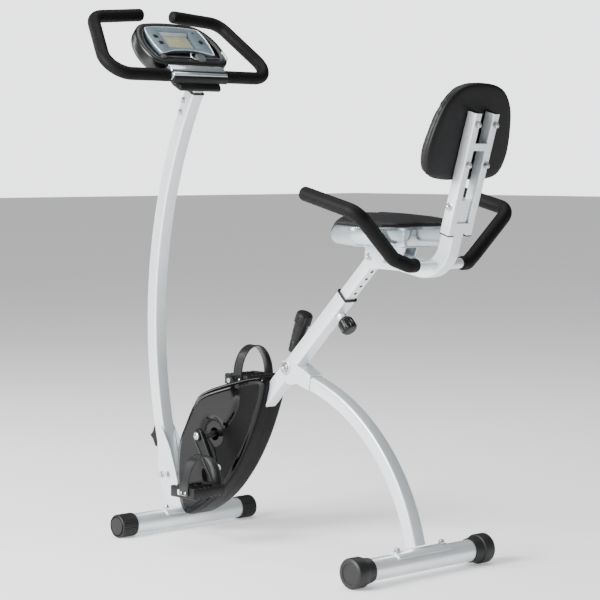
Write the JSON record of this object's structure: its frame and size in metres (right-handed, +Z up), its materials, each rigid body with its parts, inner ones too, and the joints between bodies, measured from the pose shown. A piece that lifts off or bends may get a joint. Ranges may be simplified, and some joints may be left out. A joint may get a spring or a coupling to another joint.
{
  "type": "folding recumbent exercise bike",
  "caption": "Folding recumbent exercise bike: cased magnetic drive, arched rear leg, sliding padded seat with side handles and backrest, and a console on a curved post.",
  "frame": {"origin": "on the floor, under the middle of the whole bike", "axes": "+X towards the backrest, so the rider faces -X; -Y is the rider's left; +Z up"},
  "size_m": [1.0799, 0.5008, 1.2398],
  "materials": {
    "silver_paint": "silver powder coat, semi-gloss",
    "zinc": "zinc-plated steel",
    "cast_iron": "painted cast iron",
    "rubber": "moulded, matt",
    "black_plastic": "moulded, satin",
    "gloss_black": "polished",
    "silver_plastic": "silver paint on moulded plastic",
    "grey_plastic": "satin",
    "display": "clear lens over a liquid-crystal display",
    "black_foam": "closed-cell foam, matt",
    "black_vinyl": "leather-grain vinyl over foam"
  },
  "bodies": {
    "frame": {"front_foot_tube": "silver_paint", "front_foot_cap_left": "rubber", "front_foot_cap_right": "rubber", "front_bracket": "silver_paint", "front_post": "silver_paint", "post_bush": "black_plastic", "handlebar_stem": "silver_paint", "clamp_lower": "black_plastic", "clamp_cover": "silver_plastic", "handlebar": "silver_paint", "handlebar_grip_left": "black_foam", "handlebar_grip_right": "black_foam", "console_case": "black_plastic", "console_face": "grey_plastic", "lcd_window": "display", "main_tube": "silver_paint", "sleeve_bush": "black_plastic", "tension_housing": "black_plastic", "casing_left": "gloss_black", "casing_right": "gloss_black", "drive_mount": "silver_paint", "crank_bearing_left": "zinc", "crank_bearing_right": "zinc", "drive_belt": "rubber", "magnet_bracket": "zinc", "pivot_bolt": "zinc"},
    "crank": {"crank_axle": "zinc", "drive_pulley": "grey_plastic", "crank_left": "black_plastic", "crank_right": "black_plastic"},
    "pedal_left": {"pedal_left": "black_plastic", "pedal_strap_left": "rubber"},
    "pedal_right": {"pedal_right": "black_plastic", "pedal_strap_right": "rubber"},
    "flywheel": {"flywheel": "cast_iron", "flywheel_axle": "zinc"},
    "magnet": {"magnet_arm": "zinc"},
    "resistance": {"tension_knob": "black_plastic"},
    "leg": {"rear_leg": "silver_paint", "hinge_bracket": "silver_paint", "rear_foot_saddle": "silver_paint", "rear_foot_tube": "silver_paint", "rear_foot_cap_left": "rubber", "rear_foot_cap_right": "rubber"},
    "fold_pin": {"fold_lock_pin": "black_plastic"},
    "height_pin": {"height_knob": "black_plastic"},
    "seat": {"seat_post": "silver_paint", "seat_frame": "silver_paint", "seat_bracket": "silver_paint", "seat_pan": "silver_plastic", "seat_pad": "black_vinyl", "side_handle_bar": "silver_paint", "side_grip_left": "black_foam", "side_grip_right": "black_foam", "back_frame": "silver_paint", "back_shell": "black_plastic", "back_pad": "black_vinyl"},
    "mode": {"mode_button": "black_plastic"},
    "set": {"set_button": "black_plastic"},
    "reset": {"reset_button": "black_plastic"}
  },
  "joints": [
    {"name": "crank_spin", "type": "hinge", "parent": "frame", "child": "crank", "pos_m": [-0.2719, 0, 0.243], "axis": [0, 1, 0], "continuous": true},
    {"name": "pedal_left_spin", "type": "hinge", "parent": "crank", "child": "pedal_left", "pos_m": [-0.20156, -0.143, 0.1313], "axis": [0, 1, 0], "continuous": true},
    {"name": "pedal_right_spin", "type": "hinge", "parent": "crank", "child": "pedal_right", "pos_m": [-0.34224, 0.143, 0.3547], "axis": [0, 1, 0], "continuous": true},
    {"name": "flywheel_spin", "type": "hinge", "parent": "frame", "child": "flywheel", "pos_m": [-0.32879, 0, 0.17538], "axis": [0, 1, 0], "continuous": true},
    {"name": "resistance_turn", "type": "hinge", "parent": "frame", "child": "resistance", "pos_m": [-0.0404, 0, 0.447], "axis": [0.4226, 0, 0.9063], "range_deg": [0, 270]},
    {"name": "magnet_swing", "type": "hinge", "parent": "frame", "child": "magnet", "pos_m": [-0.25699, -0.0265, 0.16529], "axis": [0, -1, 0], "range_deg": [0, 8.1]},
    {"name": "fold", "type": "hinge", "parent": "frame", "child": "leg", "pos_m": [-0.0409, 0, 0.413], "axis": [0, 1, 0], "range_deg": [0, 55]},
    {"name": "fold_pin_pull", "type": "slide", "parent": "leg", "child": "fold_pin", "axis": [0, 1, 0], "range_m": [0, 0.008], "stiffness_N_per_m": 400, "springref_m": -0.002},
    {"name": "height_pin_pull", "type": "slide", "parent": "frame", "child": "height_pin", "axis": [0.6984, 0, -0.7157], "range_m": [0, 0.008], "stiffness_N_per_m": 400, "springref_m": -0.002},
    {"name": "seat_slide", "type": "slide", "parent": "frame", "child": "seat", "axis": [0.7157, 0, 0.6984], "range_m": [-0.05, 0.06]},
    {"name": "mode_press", "type": "slide", "parent": "frame", "child": "mode", "axis": [-0.6896, 0, -0.7242], "range_m": [0, 0.0015], "stiffness_N_per_m": 300},
    {"name": "set_press", "type": "slide", "parent": "frame", "child": "set", "axis": [-0.6896, 0, -0.7242], "range_m": [0, 0.0015], "stiffness_N_per_m": 300},
    {"name": "reset_press", "type": "slide", "parent": "frame", "child": "reset", "axis": [-0.6896, 0, -0.7242], "range_m": [0, 0.0015], "stiffness_N_per_m": 300}
  ],
  "couplings": [
    {"joint": "flywheel_spin", "follows": "crank_spin", "ratio": 4.8333},
    {"joint": "magnet_swing", "follows": "resistance_turn", "ratio": 0.03}
  ]
}
